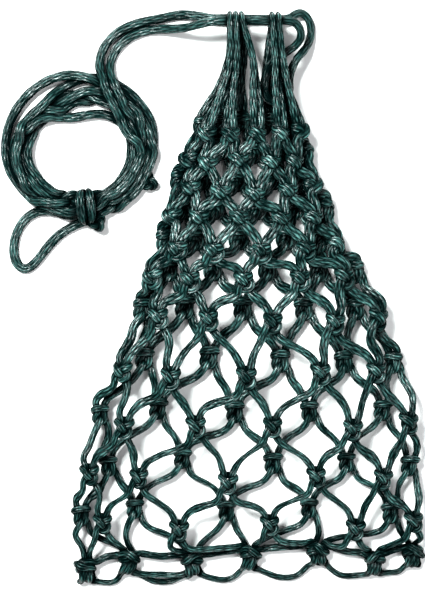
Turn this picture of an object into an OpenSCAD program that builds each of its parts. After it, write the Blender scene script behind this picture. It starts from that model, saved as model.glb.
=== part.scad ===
// A hand-knotted drawstring cast net: a tapered, flattened bag of netting that lies on the ground,
// with long mouth loops on a drawstring whose two ends run on as a coiled hand line.
// +X is to the right, +Y is towards the mouth and +Z is up. The origin is on the ground,
// under the middle of the net.

/* [Twine] */
// Diameter of the netting twine
twine_d = 2.8; // [2:0.1:3]
// Diameter of the line that closes the bottom
closing_d = 3.4; // [2:0.1:4]
// Diameter of the drawstring and hand line
line_d = 4.2; // [3:0.1:4.2]

/* [Knots] */
// Diameter of a knot in the body of the net
knot_d = 9.6; // [7:0.1:10]
// Diameter of a knot in the gathered neck
neck_knot_d = 7.6; // [7:0.1:7.8]
// Length of a knot in the body of the net, along the net
knot_len = 12; // [8:0.5:13]
// Length of a knot in the gathered neck, along the net
neck_knot_len = 8; // [7:0.5:8.5]
// How far the knots stray sideways, as a share of half the net's width
wander_x = 0.035; // [0:0.005:0.035]
// How far the knots stray along the net
wander_y = 2; // [0:0.5:3]

/* [Net] */
// Height of the side edges above the ground
edge_z = 13; // [12:0.5:14]
// How much further towards the mouth the back wall lies than the front wall
back_rise = 10; // [6:1:12]

// How much the knots crowd towards the side edges
edge_crowding = 0.6; // [0.5:0.1:0.6]

/* [Mouth] */
// Height of the drawstring's back run above the ground
back_run_z = 5.3; // [5.3:0.1:5.5]
// Height of the drawstring's front run above the ground
front_run_z = 21; // [20.8:0.1:22]
// Play between the drawstring and the loops round it
eye_play = 0.3; // [0.3:0.1:0.4]

/* [Coil] */
// Outer radius of the coiled hand line
coil_r = 44.5; // [42:0.5:44.5]
// Inner radius of the coiled hand line
coil_inner_r = 27.5; // [24:0.5:30]
// Thickness of the coil
coil_h = 10; // [8:0.5:12]

/* [Hidden] */
$fn = 48;
TWINE = "#1f4f49";
LINE = "#2a635b";
MESHES = 10;
GAP = 0.05;
leg_r = twine_d / 2;
back_z = knot_d / 2;
leg_spread = 1.8;
eye_r = line_d / 2 + eye_play + leg_r;

// Each row of knots: its place along the net, its left and right edge, and the height of its front wall.
ROWS = [
  [96, -29, 32, 21],
  [80, -36, 35, 21],
  [63, -42, 41, 22],
  [46, -46, 47, 22.5],
  [28, -51, 56, 23],
  [9, -60, 68, 23],
  [-15, -67, 81, 24],
  [-47, -77, 93, 24],
  [-78, -91, 99, 23],
  [-109, -100, 101, 20],
  [-138, -105, 104, 15],
];
LAST = len(ROWS) - 1;
NECK_ROWS = 4;
GROWING_ROWS = 3;

// The mouth loops hang in two bundles, first the right one. Both runs of the drawstring carry them.
EYE_X = [18.7, 15.1, -3.2, -6.8, -10.4];
front_run_y = 163.5;
back_run_y = 168;

// The knots that close the bottom, and the knots that each leg of the last row goes down to.
CLOSING = [[-97, -165], [-71, -160], [-33, -161], [2, -157], [43, -155], [77, -160], [100, -156]];
CLOSING_OF = [[6, 5], [5, 4], [4, 3], [3, 2], [1, 0], [0, 1], [1, 2], [2, 3], [3, 4], [4, 6]];
closing_knot_d = 10;
closing_z = 5.2;
bight_y = -171.8;
bight_z = 3.6;
bight_spread = 2;
wall_spread = 2.2;

// Routes of the drawstring and the hand line, each point on the cord's middle line.
split_x = -8;
DRAWSTRING = [
  [split_x, back_run_y, back_run_z], [8, back_run_y, back_run_z], [25, back_run_y, back_run_z],
  [29, 170.3, 5.1], [32.5, 171.4, 4.8], [36, 169.5, 4.3], [38.3, 165, 3.6], [38.8, 159, 3.2],
  [37.2, 153, 5], [33.8, 147.5, 9.5], [29.8, 142.5, 12.1], [26.8, 136.5, 12.4], [25.4, 130, 12.3],
  [25.2, 124, 12.1], [23, 118.8, 11.9], [17.8, 116.6, 11.9], [12.5, 118.8, 11.9], [10.4, 124, 12.1],
  [10.6, 130, 12.3], [12.6, 136.5, 12.4], [17.5, 142, 12.5], [23.5, 146.5, 12.5], [29, 150.5, 13],
  [31.8, 154.5, 15.2], [31.3, 159.3, 18], [28, 162.6, 20.3],
  [24.5, front_run_y, front_run_z], [8, front_run_y, front_run_z], [split_x, front_run_y, front_run_z],
];
UPPER_LINE = [
  [split_x, back_run_y, back_run_z], [-21, back_run_y, back_run_z], [-30, 170, 3.6], [-40, 171, 2.1],
  [-52, 168.6, 2.1], [-65, 166, 2.1], [-77, 161, 2.1], [-85, 153.5, 2.1], [-89, 144.5, 2.1],
  [-89.4, 134.4, 2.1],
];
LOWER_LINE = [
  [split_x, front_run_y, front_run_z], [-21, front_run_y, front_run_z], [-29, 161.8, 18.5], [-36, 161, 13],
  [-44, 161.5, 7], [-53, 162, 3], [-62, 161, 2.1], [-71, 157.5, 2.1], [-78.5, 151, 2.1],
  [-82.5, 143, 2.1], [-83.6, 136.6, 2.1], [-82.2, 132.6, 2.1],
];
WRIST_LOOP = [
  [-127.5, 51.8, 2.1], [-133, 48.5, 2.1], [-139, 40, 2.1], [-141.3, 29, 2.1], [-139.5, 20, 2.1],
  [-134.5, 16, 2.1], [-129, 19.5, 2.1], [-122, 28.5, 2.1], [-114.5, 37, 2.1], [-106.5, 42.3, 2.1],
  [-99, 42, 2.1],
];
LINE_SIDES = 10;

// The coil, its tie and the two knots beside it.
COIL_AT = [-101.4, 90.6];
coil_edge = 3;
tie_angle = -81;
tie_w = 6;
tie_d = 3;
tie_play = 0.3;
tie_knot_d = 7.6;
tie_knot_r = 48.5;
tie_knot_shift = 7;
end_knot_d = 6;
end_knot_r = 47.7;
end_knot_angle = -27;

// A steady value from -1 to 1 that differs from knot to knot.
function stray(r, c, k) = sin(137.5 * r + 222.1 * c + 79.3 * k + 31 * r * c);

// How far round the flattened bag a knot is: 0 is the right edge, 0.5 the left edge.
// Every other row is half a mesh further on. The quarters put the back wall's knots between the front wall's.
function turn(r, c) = (c + (r % 2 == 0 ? 0.25 : 0.75)) / MESHES;

// The place across the bag at a turn, from -1 at the left edge to 1 at the right edge.
function across(t) =
  let(even = t <= 0.5 ? 1 - 4 * t : 4 * t - 3)
  (1 - edge_crowding) * even + edge_crowding * cos(360 * t);
function swell(t) = pow(max(0, 1 - pow(across(t), 2)), 0.35);
function wall(t) = t <= 0.5 ? 1 : -1;

// The place on the bag's wall at a row and a turn.
function spot(r, t) =
  let(row = ROWS[r], s = across(t), w = wall(t) * swell(t), z_far = w > 0 ? row[3] : back_z)
  [
    (row[1] + row[2]) / 2 + (row[2] - row[1]) / 2 * s,
    row[0] + back_rise * (1 - w) / 2,
    edge_z + (z_far - edge_z) * abs(w),
  ];

function knot_place(r, c) =
  let(t = turn(r, c), half = (ROWS[r][2] - ROWS[r][1]) / 2)
  spot(r, t) + swell(t) * [wander_x * half * stray(r, c, 1), r == 0 ? 0 : wander_y * stray(r, c, 2), 0];

// The direction along the row at a knot, level with the ground or up the side.
function along_row(r, c) =
  let(t = turn(r, c), d = spot(r, (t + 0.02) % 1) - spot(r, (t + 0.98) % 1), flat = [d[0], 0, d[2]])
  flat / norm(flat);

// How much of its full size a row's knots have: 0 in the neck, and 1 from the first row of the body.
function grown(r) = min(1, max(0, (r - NECK_ROWS + 1) / GROWING_ROWS));
function knot_dia(r) = neck_knot_d + (knot_d - neck_knot_d) * grown(r);
function knot_length(r) = neck_knot_len + (knot_len - neck_knot_len) * grown(r);
function next_knot(c) = (c + MESHES) % MESHES;

// Where a leg leaves a knot: end is 1 at the mouth end and -1 at the bottom end.
function leg_place(r, c, side, end) =
  knot_place(r, c) + side * leg_spread * along_row(r, c) + [0, end * knot_length(r) / 2, 0];

// A straight length of twine that fits between two faces square to Y, and touches neither.
module leg(a, b, r = leg_r) {
  d = (b - a) / norm(b - a);
  back_off = (GAP + r * sqrt(1 - pow(d[1], 2))) / abs(d[1]);
  rod(a + d * back_off, b - d * back_off, r);
}

module rod(a, b, r) {
  d = b - a;
  translate(a)
    rotate([0, acos(d[2] / norm(d)), atan2(d[1], d[0])])
      cylinder(r = r, h = norm(d));
}

// A knot is a plug with bevelled ends, along the net.
module knot(d, l) {
  bevel = d / 5;
  rotate([90, 0, 0])
    rotate_extrude()
      polygon([
        [0, -l / 2], [d / 2 - bevel, -l / 2], [d / 2, -l / 2 + bevel],
        [d / 2, l / 2 - bevel], [d / 2 - bevel, l / 2], [0, l / 2],
      ]);
}

// One course of netting: its knots, and the legs of its loops, which go down to the row below.
module mesh_row(r) {
  color(TWINE) {
    for (c = [0 : MESHES - 1])
      translate(knot_place(r, c)) knot(knot_dia(r), knot_length(r));
    if (r < LAST)
      for (c = [0 : MESHES - 1], side = [-1, 1]) {
        below = next_knot(c + (side < 0 ? -1 : 0) + (r % 2 == 0 ? 0 : 1));
        leg(leg_place(r, c, side, -1), leg_place(r + 1, below, -side, 1));
      }
  }
}

// The loops of the mouth. Each hangs on one run of the drawstring and holds one knot of the first row.
function eye_place(c) =
  c < MESHES / 2 ? [EYE_X[c], front_run_y, front_run_z]
                 : [EYE_X[MESHES - 1 - c], back_run_y, back_run_z];

module mouth_eyes(first) {
  color(TWINE)
    for (c = [first : first + MESHES / 2 - 1])
      translate(eye_place(c))
        rotate([0, -90, 0])
          rotate_extrude(angle = 180)
            translate([eye_r, 0]) circle(leg_r);
}

// The leg nearer the middle of the bag leaves the knot higher up, so it goes to the top of the eye.
function upper_side(c) = across(turn(0, c)) > 0 ? 1 : -1;

module mouth_legs(first) {
  color(TWINE)
    for (c = [first : first + MESHES / 2 - 1], side = [-1, 1])
      leg(eye_place(c) + [0, 0, upper_side(c) * side * eye_r], leg_place(0, c, side, 1));
}

// The bottom edge: legs of the last row, the knots that shut it, the line through them and the bights.
function closing_place(i) = [CLOSING[i][0], CLOSING[i][1], closing_z];

module closing_legs() {
  color(TWINE)
    for (c = [0 : MESHES - 1], k = [0, 1]) {
      pair = CLOSING_OF[c];
      side = 2 * k - 1;
      front = c < MESHES / 2 ? 1 : -1;
      leg(
        leg_place(LAST, c, side, -1),
        closing_place(pair[k]) + [front * side * leg_spread, closing_knot_d / 2, front * wall_spread]
      );
    }
}

module closing_knots() {
  color(LINE)
    for (i = [0 : len(CLOSING) - 1])
      translate(closing_place(i))
        rotate([0, 0, 90]) knot(closing_knot_d, closing_knot_d);
}

module closing_line() {
  reach = closing_knot_d / 2 + 0.5;
  color(LINE)
    for (i = [0 : len(CLOSING) - 2])
      rod(closing_place(i) + [reach, 0, 0], closing_place(i + 1) - [reach, 0, 0], closing_d / 2);
}

module closing_bights() {
  color(TWINE)
    for (i = [0 : len(CLOSING) - 2]) {
      middle = [(CLOSING[i][0] + CLOSING[i + 1][0]) / 2, bight_y, bight_z];
      translate(middle) sphere(leg_r);
      for (side = [-1, 1]) {
        top = closing_place(side < 0 ? i : i + 1)
              + [-side * bight_spread, -closing_knot_d / 2, bight_z - closing_z];
        d = (middle - top) / norm(middle - top);
        back_off = (GAP + leg_r * sqrt(1 - pow(d[1], 2))) / abs(d[1]);
        rod(top + d * back_off, middle - d * (leg_r + GAP), leg_r);
      }
    }
}

// A round cord along a route: one ring of points at each of the route's points, and two end faces.
function unit(v) = v / norm(v);
function route_way(p, i) = unit(p[min(i + 1, len(p) - 1)] - p[max(i - 1, 0)]);
module cord(route, d, sides) {
  rings = [
    for (i = [0 : len(route) - 1])
      let(way = route_way(route, i), flat = unit(cross(way, [0, 0, 1])), up = cross(flat, way))
        for (k = [0 : sides - 1])
          route[i] + d / 2 * (cos(360 * k / sides) * flat + sin(360 * k / sides) * up)
  ];
  sleeve = [
    for (i = [0 : len(route) - 2], k = [0 : sides - 1], half = [0, 1])
      let(a = i * sides + k, b = i * sides + (k + 1) % sides)
        half == 0 ? [a, b + sides, b] : [a, a + sides, b + sides]
  ];
  last = (len(route) - 1) * sides;
  ends = [[for (k = [0 : sides - 1]) k], [for (k = [sides - 1 : -1 : 0]) last + k]];
  polyhedron(rings, concat(sleeve, ends));
}

module drawstring() {
  color(LINE) cord(DRAWSTRING, line_d, LINE_SIDES);
}

module hand_line_upper() {
  color(LINE) cord(UPPER_LINE, line_d, LINE_SIDES);
}

module hand_line_lower() {
  color(LINE) cord(LOWER_LINE, line_d, LINE_SIDES);
}

module wrist_loop() {
  color(LINE) cord(WRIST_LOOP, line_d, LINE_SIDES);
}

// The outer shape of the coiled hand line.
module hand_line_coil() {
  color(LINE)
    translate(COIL_AT)
      rotate_extrude($fn = 96)
        polygon([
          [coil_inner_r, coil_edge], [coil_inner_r + coil_edge, 0], [coil_r - coil_edge, 0],
          [coil_r, coil_edge], [coil_r, coil_h - coil_edge], [coil_r - coil_edge, coil_h],
          [coil_inner_r + coil_edge, coil_h], [coil_inner_r, coil_h - coil_edge],
        ]);
}

// The tie straddles the coil and stands on the ground at both sides of it.
module coil_tie() {
  color(LINE)
    translate(COIL_AT)
      rotate([0, 0, tie_angle])
        translate([0, -tie_w / 2, 0])
          difference() {
            translate([coil_inner_r - tie_play - tie_d, 0, 0])
              cube([coil_r - coil_inner_r + 2 * (tie_play + tie_d), tie_w, coil_h + tie_play + tie_d]);
            translate([coil_inner_r - tie_play, -1, -1])
              cube([coil_r - coil_inner_r + 2 * tie_play, tie_w + 2, coil_h + tie_play + 1]);
          }
}

module coil_tie_knot() {
  color(LINE)
    translate(COIL_AT)
      rotate([0, 0, tie_angle])
        translate([tie_knot_r, tie_knot_shift, tie_knot_d / 2]) sphere(tie_knot_d / 2);
}

module line_end_knot() {
  color(LINE)
    translate(COIL_AT)
      rotate([0, 0, end_knot_angle])
        translate([end_knot_r, 0, end_knot_d / 2]) sphere(end_knot_d / 2);
}

mouth_eyes(0);  // mouth_eyes_front
mouth_eyes(MESHES / 2);  // mouth_eyes_back
mouth_legs(0);  // mouth_legs_front
mouth_legs(MESHES / 2);  // mouth_legs_back
mesh_row(0);  // mesh_row_1
mesh_row(1);  // mesh_row_2
mesh_row(2);  // mesh_row_3
mesh_row(3);  // mesh_row_4
mesh_row(4);  // mesh_row_5
mesh_row(5);  // mesh_row_6
mesh_row(6);  // mesh_row_7
mesh_row(7);  // mesh_row_8
mesh_row(8);  // mesh_row_9
mesh_row(9);  // mesh_row_10
mesh_row(10);  // mesh_row_11
closing_legs();
closing_knots();
closing_line();
closing_bights();
drawstring();
hand_line_upper();
hand_line_lower();
hand_line_coil();
coil_tie();
coil_tie_knot();
line_end_knot();
wrist_loop();
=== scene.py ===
"""The looks of the cast net: every twine and line is one swept strand, laid where the CAD model has it.

A strand starts on its CAD route, the strands settle against each other, and each becomes a braided tube.
+X is right, +Y is towards the mouth and +Z is up.
"""
import math

import bpy
import numpy as np
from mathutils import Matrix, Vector


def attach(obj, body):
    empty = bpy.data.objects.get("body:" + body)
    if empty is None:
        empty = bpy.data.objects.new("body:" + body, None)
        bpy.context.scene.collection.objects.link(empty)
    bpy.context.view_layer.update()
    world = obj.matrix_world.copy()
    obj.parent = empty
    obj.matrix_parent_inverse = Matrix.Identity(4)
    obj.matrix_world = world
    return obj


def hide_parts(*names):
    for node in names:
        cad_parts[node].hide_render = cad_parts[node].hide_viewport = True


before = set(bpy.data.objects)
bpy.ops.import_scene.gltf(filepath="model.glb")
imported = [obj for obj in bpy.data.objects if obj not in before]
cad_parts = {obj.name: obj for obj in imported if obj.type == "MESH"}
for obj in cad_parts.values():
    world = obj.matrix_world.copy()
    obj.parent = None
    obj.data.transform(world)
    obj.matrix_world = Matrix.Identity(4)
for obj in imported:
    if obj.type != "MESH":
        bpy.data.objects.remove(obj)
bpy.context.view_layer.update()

MM = 0.001  # lengths are in millimetres, as in the CAD source, until a mesh is made

# ---------------------------------------------------------------- sizes and routes of the CAD model
TWINE_D = 2.8
CLOSING_D = 3.4
LINE_D = 4.2
TIE_D = 3.0
MESHES = 10  # round the bag, the first half of them in its front wall
EDGE_Z = 13.0  # the level of the bag's side edges, between its two walls
BACK_Z = 4.8
BACK_RISE = 10.0  # how much nearer the mouth the back wall lies
WALL_ROUND = 0.35  # how soon the walls leave the edges: less is sooner
WANDER_X = 0.035  # how far knots stray along the row, as a share of its half width
WANDER_Y = 2.0
EDGE_CROWDING = 0.6  # 0 spaces the knots evenly across the bag, 1 crowds them at its edges
ROWS = [  # each row of knots: its place towards the mouth, its left and right ends, its front's height
    (96, -29, 32, 21),
    (80, -36, 35, 21),
    (63, -42, 41, 22),
    (46, -46, 47, 22.5),
    (28, -51, 56, 23),
    (9, -60, 68, 23),
    (-15, -67, 81, 24),
    (-47, -77, 93, 24),
    (-78, -91, 99, 23),
    (-109, -100, 101, 20),
    (-138, -105, 104, 15),
]
LAST = len(ROWS) - 1
NECK_ROWS = 4  # rows of small knots in the neck
GROWING_ROWS = 3  # rows after them, in which the knots grow to full size
EYE_X = [18.7, 15.1, -3.2, -6.8, -10.4]  # the mouth loops' places along a run of the drawstring
EYE_R = 3.8  # how far the middle of a loop's twine is from the middle of that run
FRONT_RUN = (163.5, 21.0)  # the Y and Z of the drawstring's runs
BACK_RUN = (168.0, 5.3)
# The bottom knots' places, then the two bottom knots that the loops on either side of each last knot go to.
CLOSING = [(-97, -165), (-71, -160), (-33, -161), (2, -157), (43, -155), (77, -160), (100, -156)]
CLOSING_OF = [(6, 5), (5, 4), (4, 3), (3, 2), (1, 0), (0, 1), (1, 2), (2, 3), (3, 4), (4, 6)]
CLOSING_Z = 5.2
BIGHT_Z = 3.6
SPLIT_X = -8.0  # where the drawstring hands over to the hand line

DRAWSTRING = [
    (SPLIT_X, 168, 5.3), (8, 168, 5.3), (25, 168, 5.3), (29, 170.3, 5.1), (32.5, 171.4, 4.8),
    (36, 169.5, 4.3), (38.3, 165, 3.6), (38.8, 159, 3.2), (37.2, 153, 5), (33.8, 147.5, 9.5),
    (29.8, 142.5, 12.1), (26.8, 136.5, 12.4), (25.4, 130, 12.3), (25.2, 124, 12.1), (23, 118.8, 11.9),
    (17.8, 116.6, 11.9), (12.5, 118.8, 11.9), (10.4, 124, 12.1), (10.6, 130, 12.3), (12.6, 136.5, 12.4),
    (17.5, 142, 12.5), (23.5, 146.5, 12.5), (29, 150.5, 13), (31.8, 154.5, 15.2), (31.3, 159.3, 18),
    (28, 162.6, 20.3), (24.5, 163.5, 21), (8, 163.5, 21), (SPLIT_X, 163.5, 21),
]
UPPER_LINE = [
    (SPLIT_X, 168, 5.3), (-21, 168, 5.3), (-30, 170, 3.6), (-40, 171, 2.1), (-52, 168.6, 2.1),
    (-65, 166, 2.1), (-77, 161, 2.1), (-85, 153.5, 2.1), (-89, 144.5, 2.1), (-89.4, 134.4, 2.1),
]
LOWER_LINE = [
    (SPLIT_X, 163.5, 21), (-21, 163.5, 21), (-29, 161.8, 18.5), (-36, 161, 13), (-44, 161.5, 7),
    (-53, 162, 3), (-62, 161, 2.1), (-71, 157.5, 2.1), (-78.5, 151, 2.1), (-82.5, 143, 2.1),
    (-83.6, 136.6, 2.1), (-82.2, 132.6, 2.1),
]
WRIST_LOOP = [
    (-127.5, 51.8, 2.1), (-133, 48.5, 2.1), (-139, 40, 2.1), (-141.3, 29, 2.1), (-139.5, 20, 2.1),
    (-134.5, 16, 2.1), (-129, 19.5, 2.1), (-122, 28.5, 2.1), (-114.5, 37, 2.1), (-106.5, 42.3, 2.1),
    (-99, 42, 2.1),
]
COIL_AT = np.array([-101.4, 90.6, 0.0])
TIE_ANGLE = -81.0
END_KNOT_R = 47.7
END_KNOT_ANGLE = -27.0


# ---------------------------------------------------------------- the bag's wall, as in the CAD source
def stray(r, c, k):
    """A steady value from -1 to 1 that differs from knot to knot, and with k from use to use."""
    return math.sin(math.radians(137.5 * r + 222.1 * c + 79.3 * k + 31 * r * c))


def in_front(c):
    return c < MESHES // 2


def turn(r, c):
    """Where a knot is round the bag, as a share of the way from its right edge across the front and back."""
    return (c + (0.25 if r % 2 == 0 else 0.75)) / MESHES


def across(t):
    """Where that is from side to side: 1 at the right edge, -1 at the left."""
    even = 1 - 4 * t if t <= 0.5 else 4 * t - 3
    return (1 - EDGE_CROWDING) * even + EDGE_CROWDING * math.cos(2 * math.pi * t)


def swell(t):
    """How far the wall has left the edges' level: 0 at an edge, 1 in the middle."""
    return max(0.0, 1 - across(t) ** 2) ** WALL_ROUND


def spot(r, t):
    """The place on the wall at row r."""
    y, left, right, front_z = ROWS[r]
    w = swell(t) if t <= 0.5 else -swell(t)
    far_z = front_z if w > 0 else BACK_Z
    return np.array([
        (left + right) / 2 + (right - left) / 2 * across(t),
        y + BACK_RISE * (1 - w) / 2,
        EDGE_Z + (far_z - EDGE_Z) * abs(w),
    ])


def half_width(r):
    return (ROWS[r][2] - ROWS[r][1]) / 2


def knot_place(r, c):
    t = turn(r, c)
    along = 0.0 if r == 0 else WANDER_Y * stray(r, c, 2)
    return spot(r, t) + swell(t) * np.array([WANDER_X * half_width(r) * stray(r, c, 1), along, 0.0])


def knot_axes(r, c):
    """The directions along the row, towards the mouth and outwards, at a knot."""
    nearby = 0.02
    t = turn(r, c)
    row = spot(r, (t + nearby) % 1) - spot(r, (t + (1 - nearby)) % 1)
    row[1] = 0.0
    row /= np.linalg.norm(row)
    up = np.array([0.0, 1.0, 0.0])
    return row, up, np.cross(up, row)


def eye_place(c):
    """The middle of the drawstring where mouth loop c goes round it."""
    if in_front(c):
        return np.array([EYE_X[c], *FRONT_RUN])
    return np.array([EYE_X[MESHES - 1 - c], *BACK_RUN])


# ---------------------------------------------------------------- strands
CURVE_STEPS = 8  # points of a curve from each point that it goes through to the next
SETTLE_STEP = 1.3  # between points while strands settle
SWEEP_STEP = 0.6  # between rings of a mesh


class Strand:
    """One length of twine: the points along its middle, its radius, and how slack it is at each point.

    A ring's two ends meet. A strand that isn't free stays where it is while others settle on it.
    """

    def __init__(self, name, points, diameter, slack, ring=False):
        points = np.asarray(points, float)
        slack = np.broadcast_to(np.asarray(slack, float), len(points))
        self.name = name
        self.radius = diameter / 2
        self.points, self.slack = resample(points, slack, SETTLE_STEP)
        self.free = True
        self.ring = ring


def curve_through(points, values):
    """A centripetal Catmull-Rom curve through points, with values carried along it."""
    p = np.vstack([2 * points[0] - points[1], points, 2 * points[-1] - points[-2]])
    gaps = np.maximum(np.linalg.norm(np.diff(p, axis=0), axis=1), 1e-6) ** 0.5
    knots = np.concatenate([[0], np.cumsum(gaps)])
    curve, carried = [], []
    for i in range(1, len(p) - 2):
        t0, t1, t2, t3 = knots[i - 1:i + 3]
        t = np.linspace(t1, t2, CURVE_STEPS, endpoint=False)[:, None]
        a1 = (t1 - t) / (t1 - t0) * p[i - 1] + (t - t0) / (t1 - t0) * p[i]
        a2 = (t2 - t) / (t2 - t1) * p[i] + (t - t1) / (t2 - t1) * p[i + 1]
        a3 = (t3 - t) / (t3 - t2) * p[i + 1] + (t - t2) / (t3 - t2) * p[i + 2]
        b1 = (t2 - t) / (t2 - t0) * a1 + (t - t0) / (t2 - t0) * a2
        b2 = (t3 - t) / (t3 - t1) * a2 + (t - t1) / (t3 - t1) * a3
        curve.append((t2 - t) / (t2 - t1) * b1 + (t - t1) / (t2 - t1) * b2)
        share = (t[:, 0] - t1) / (t2 - t1)
        carried.append(values[i - 1] * (1 - share) + values[i] * share)
    return np.vstack([*curve, points[-1:]]), np.concatenate([*carried, values[-1:]])


def run_lengths(points):
    """How far along a line of points each one is."""
    return np.concatenate([[0], np.cumsum(np.linalg.norm(np.diff(points, axis=0), axis=1))])


def resample(points, values, step):
    """The same curve with its points a step apart."""
    fine, carried = curve_through(points, values)
    along = run_lengths(fine)
    at = np.linspace(0, along[-1], max(4, int(round(along[-1] / step)) + 1))
    stepped = np.column_stack([np.interp(at, along, fine[:, axis]) for axis in range(3)])
    return stepped, np.interp(at, along, carried)


class Trail:
    """Points and slackness gathered in order."""

    def __init__(self):
        self.points = []
        self.slack = []

    def add(self, points, slack):
        points = np.atleast_2d(points)
        self.points.extend(points)
        self.slack.extend([slack] * len(points))


# ---------------------------------------------------------------- the netting
# A sheet bend in twine diameters: along the row, towards the mouth, outwards.
# The bight is the bottom of a loop of the course above, and the bend is the working twine round it.
BIGHT = [
    (-1.5, 3.0, 0.0), (-1.15, 1.5, 0.0), (-1.05, 0.0, 0.1), (-0.75, -1.2, 0.15), (0.0, -1.75, 0.2),
    (0.75, -1.2, 0.15), (1.05, 0.0, 0.1), (1.15, 1.5, 0.0), (1.5, 3.0, 0.0),
]
BIGHT_BOTTOM = 4
BEND = [
    (-2.0, -3.3, 0.0), (-1.2, -2.3, -0.55), (-0.45, -1.3, -0.8), (-0.25, -0.75, 0.2), (-0.2, -0.3, 1.2),
    (0.25, 0.3, 1.9), (1.0, 0.95, 1.6), (1.9, 1.25, 0.7), (2.0, 1.4, -0.3), (1.1, 1.5, -1.0),
    (0.0, 1.55, -1.05), (-1.1, 1.5, -1.0), (-2.0, 1.3, -0.3), (-2.0, 0.9, 0.6), (-1.35, 0.55, 1.15),
    (-0.3, 0.25, 0.85), (0.6, -0.25, 0.95), (1.3, -0.8, 1.1), (1.8, -1.8, 0.6), (2.0, -3.2, 0.0),
]
BEND_BACK = 10  # the point of the bend behind the bight, where a course's two ends are out of sight
KNOT_ACROSS = 0.86  # how a pulled-up knot's shape is stretched along the row, towards the mouth and outwards
KNOT_ALONG = 1.1
KNOT_OUT = 0.74
KNOT_VARIES = 0.07  # how much knots differ in size
KNOT_LEANS = 0.14
NECK_KNOT = 0.5  # a knot's size in the first row and the neck's front, as a share of one in the body
NECK_KNOT_BACK = 0.85

SLACK_ROWS = [4, 7, 8.5, 10]  # the braid is slackest up to the first of these rows
SLACK_THERE = [1.25, 0.75, 0.45, 0.35]
SLACK_IN_KNOT = 0.45  # the least slack that twine has inside a knot
SLACKEST = 1.3
TIGHTEST = 0.05
NECK_LEGS_DIFFER = 0.15
BODY_LEGS_DIFFER = 0.4
EDGE_SLACK = 0.6
DOWN, UP = 1, -1  # the two legs of a mesh, by the way that the working twine goes
BOW_ROWS = [0, 5, 7]
BOW_THERE = [0.03, 0.06, 0.11]  # how far a leg bows out, as a share of its length
DRIFT = 0.045  # how far its middle strays, as another such share


def placed(shape, r, c):
    """A knot's shape at its place on the wall. Knots differ a little in size and lean."""
    row, up, out = knot_axes(r, c)
    size = TWINE_D * (1 + KNOT_VARIES * stray(r, c, 5))
    lean = KNOT_LEANS * stray(r, c, 6)
    grown = min(1.0, max(0.0, (r - NECK_ROWS + 1) / GROWING_ROWS))
    least = NECK_KNOT if in_front(c) or r == 0 else NECK_KNOT_BACK
    a, b, n = np.asarray(shape).T * size * (least + (1 - least) * grown)
    a = a * KNOT_ACROSS + lean * b
    return knot_place(r, c) + np.outer(a, row) + np.outer(b * KNOT_ALONG, up) + np.outer(n * KNOT_OUT, out)


def slackness(r):
    """The braid lies slack, flat and wide in the gathered neck, and is pulled rounder lower down."""
    return float(np.interp(r, SLACK_ROWS, SLACK_THERE))


def fullness(r):
    """How slack the twine is inside a knot, where it lies in flat turns."""
    return max(slackness(r), SLACK_IN_KNOT)


def leg_slack(r, c, way):
    """Some legs lie slack and flat, others are pulled tight. Those at the side edges are the slackest."""
    differ = NECK_LEGS_DIFFER if r < NECK_ROWS else BODY_LEGS_DIFFER
    own = differ * stray(r, c, 41 if way == DOWN else 42)
    at_edge = across(turn(r, c)) ** 4
    return min(SLACKEST, max(TIGHTEST, slackness(r + 0.5) + own + EDGE_SLACK * at_edge))


def leg_middle(a, b, r, c, way):
    """The middle of a leg between a and b: bowed out from its loop, and a little astray."""
    run = np.linalg.norm(b - a)
    row = knot_axes(r, c)[0]
    bow = np.interp(r, BOW_ROWS, BOW_THERE) * run * way * row
    k = 7 if way == DOWN else 11
    drift = DRIFT * run * np.array([stray(r, c, k), 0.3 * stray(r, c, k + 1), 0.5 * stray(r, c, k + 2)])
    return (a + b) / 2 + bow + drift


def course(r):
    """The twine of one row: a bend round each loop of the row above, then a loop down to the row below."""
    trail = Trail()
    slack = fullness(r)
    trail.add(placed(BEND, r, 0)[BEND_BACK:], slack)
    for c in range(MESHES):
        after = (c + 1) % MESHES
        start = placed(BEND, r, c)[-1]
        bend = placed(BEND, r, after)
        if r < LAST:
            below = (c + r % 2) % MESHES
            bight = placed(BIGHT, r + 1, below)
            trail.add(leg_middle(start, bight[0], r, c, DOWN), leg_slack(r, c, DOWN))
            trail.add(bight, fullness(r + 1))
            trail.add(leg_middle(bight[-1], bend[0], r, c, UP), leg_slack(r, c, UP))
        else:
            trail.add(closing_loop(c, start, bend[0]), slackness(r))
        trail.add(bend[:BEND_BACK + 1] if after == 0 else bend, slack)
    return Strand(f"course_{r + 1}", trail.points, TWINE_D, trail.slack, ring=True)


# ---------------------------------------------------------------- the mouth loops
MOUTH_SLACK = 0.55
MOUTH_KNOT_SLACK = 0.9
MOUTH_ARCH_SLACK = 0.3
MOUTH_FLARE = 2.2  # above 1 the loops hang down before they spread to their knots
MOUTH_BOW = [0, 0, 5, 0, 1, 1, 0, 0.5, -3, 0]  # how far the middle of each loop hangs sideways
MOUTH_STRAY_X = 1.3
MOUTH_STRAY_Z = 0.8
LEG_SHARES = (0.3, 0.65)  # where the two points of a leg are, between its knot and its arch
ARCH_WIDE = 0.9  # how far a loop's arch goes past the run, as a share of its eye's radius
ARCH_ANGLES = [-8, 30, 60, 90, 120, 150, 188]  # degrees from one side of the run, past it, to the other


def wall_of(c):
    return "front" if in_front(c) else "back"


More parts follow.
